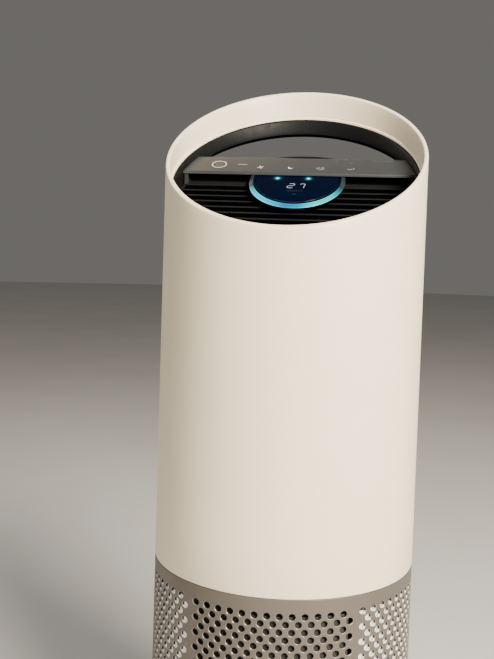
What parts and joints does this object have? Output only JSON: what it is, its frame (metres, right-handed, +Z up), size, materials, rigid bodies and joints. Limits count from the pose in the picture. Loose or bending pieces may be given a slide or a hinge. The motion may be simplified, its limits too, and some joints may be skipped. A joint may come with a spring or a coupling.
{
  "type": "air purifier",
  "caption": "Round free-standing tower air purifier with a perforated lower sleeve, a slanted open top with slatted outlets, a control bar, a lit round display and a hand slot.",
  "frame": {"origin": "on the floor under the tower's axis, at the underside of the foot pads", "axes": "+Z up, -Y the front (low side of the slanted rim), +X to the right when facing the front"},
  "size_m": [0.234, 0.234, 0.7005],
  "materials": {
    "shell_white": "satin",
    "sleeve_grey": "satin",
    "black_plastic": "satin",
    "bar_grey": "satin",
    "lens_black": "gloss",
    "ring_glow": "translucent, lit",
    "natural_plastic": "matt",
    "filter_felt": "matt",
    "carbon_fabric": "matt",
    "seal_foam": "matt",
    "foot_rubber": "matt",
    "steel": "satin",
    "board_green": "satin",
    "lamp_quartz": "gloss",
    "ribbon": "matt"
  },
  "bodies": {
    "tower": {"air_divider": "black_plastic", "bar_beam": "black_plastic", "bar_cover": "bar_grey", "base": "sleeve_grey", "base_screw_1": "steel", "base_screw_2": "steel", "base_screw_3": "steel", "base_screw_4": "steel", "bottom_cover": "black_plastic", "chassis_post_1": "black_plastic", "chassis_post_2": "black_plastic", "chassis_post_3": "black_plastic", "chassis_post_4": "black_plastic", "display_board": "board_green", "display_housing": "black_plastic", "display_lens": "lens_black", "fan_housing": "natural_plastic", "filter_bottom_cap": "natural_plastic", "filter_deck": "black_plastic", "filter_media": "filter_felt", "filter_seal": "seal_foam", "filter_tab": "ribbon", "filter_top_cap": "natural_plastic", "filter_wrap": "carbon_fabric", "foot_pad_1": "foot_rubber", "foot_pad_2": "foot_rubber", "foot_pad_3": "foot_rubber", "foot_pad_4": "foot_rubber", "front_grille": "black_plastic", "hinge_pin_bottom": "steel", "hinge_pin_top": "steel", "inlet_ring": "black_plastic", "light_ring": "ring_glow", "lower_sleeve": "sleeve_grey", "main_board": "board_green", "motor": "steel", "outlet_duct": "black_plastic", "power_inlet": "black_plastic", "power_supply": "black_plastic", "rear_grille": "black_plastic", "screen_front": "carbon_fabric", "screen_left": "filter_felt", "screen_right": "filter_felt", "shell": "shell_white", "stator": "natural_plastic", "top_bezel": "black_plastic", "touch_board": "board_green", "uv_lamp": "lamp_quartz", "uv_socket_1": "natural_plastic", "uv_socket_2": "natural_plastic"},
    "filter_door": {"filter_door": "sleeve_grey", "door_screen": "filter_felt"},
    "door_latch": {"door_latch": "black_plastic"},
    "rotor": {"impeller": "natural_plastic", "motor_shaft": "steel", "shaft_nut": "steel"}
  },
  "joints": [
    {"name": "fan_spin", "type": "hinge", "parent": "tower", "child": "rotor", "pos_m": [0, 0, 0.372], "axis": [0, 0, 1], "continuous": true},
    {"name": "filter_door_hinge", "type": "hinge", "parent": "tower", "child": "filter_door", "pos_m": [0.10842, 0.03839, 0.026], "axis": [0.0068, 0.0024, -1], "range_deg": [0, 100]},
    {"name": "door_latch_press", "type": "slide", "parent": "filter_door", "child": "door_latch", "axis": [0.9007, -0.4344, 0], "range_m": [0, 0.002], "stiffness_N_per_m": 500, "springref_m": -0.002}
  ]
}
